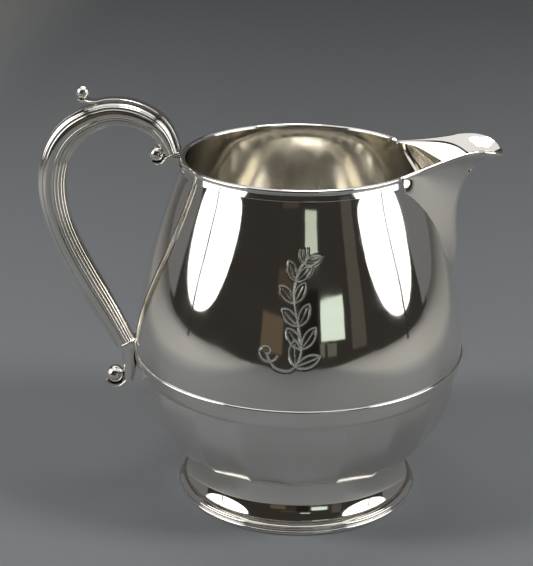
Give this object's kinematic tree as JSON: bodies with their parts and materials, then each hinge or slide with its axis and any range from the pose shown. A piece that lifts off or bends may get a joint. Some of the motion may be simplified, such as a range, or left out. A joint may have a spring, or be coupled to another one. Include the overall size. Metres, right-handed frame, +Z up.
{
  "type": "water pitcher",
  "caption": "Silver water pitcher with a round belly, flat-panelled bowl, belt wire, stepped foot, open pouring lip and a reeded scroll handle with ball ends.",
  "frame": {"origin": "middle of the foot's flat resting ring, on the surface that the pitcher stands on", "axes": "+Z up along the axis of the body, +X towards the tip of the spout, -X towards the handle, Y across"},
  "size_m": [0.2124, 0.156, 0.1947],
  "materials": {
    "body_silver": "polished silver with fine wear scratches",
    "bowl_silver": "polished silver, slightly softened on the flat panels",
    "spout_silver": "polished silver",
    "foot_silver": "polished silver with a faint dark line in the grooves",
    "wire_silver": "bright polished silver wire",
    "handle_silver": "polished silver, darkened in the grooves",
    "ball_silver": "mirror polished silver"
  },
  "bodies": {
    "root": {"upper_body": "body_silver", "belt_band": "body_silver", "belt_wire": "wire_silver", "lower_bowl": "bowl_silver", "foot_collar": "wire_silver", "foot": "foot_silver", "foot_rim_wire": "foot_silver", "rim_moulding": "wire_silver", "spout": "spout_silver", "spout_lip_wire": "wire_silver", "handle_left_half": "handle_silver", "handle_right_half": "handle_silver", "thumb_strip": "handle_silver", "thumb_ball": "ball_silver", "upper_collar": "wire_silver", "upper_bracket": "handle_silver", "upper_scroll": "handle_silver", "upper_ball": "ball_silver", "lower_collar": "wire_silver", "lower_scroll": "handle_silver", "lower_ball": "ball_silver", "lower_plate": "handle_silver"}
  },
  "joints": []
}
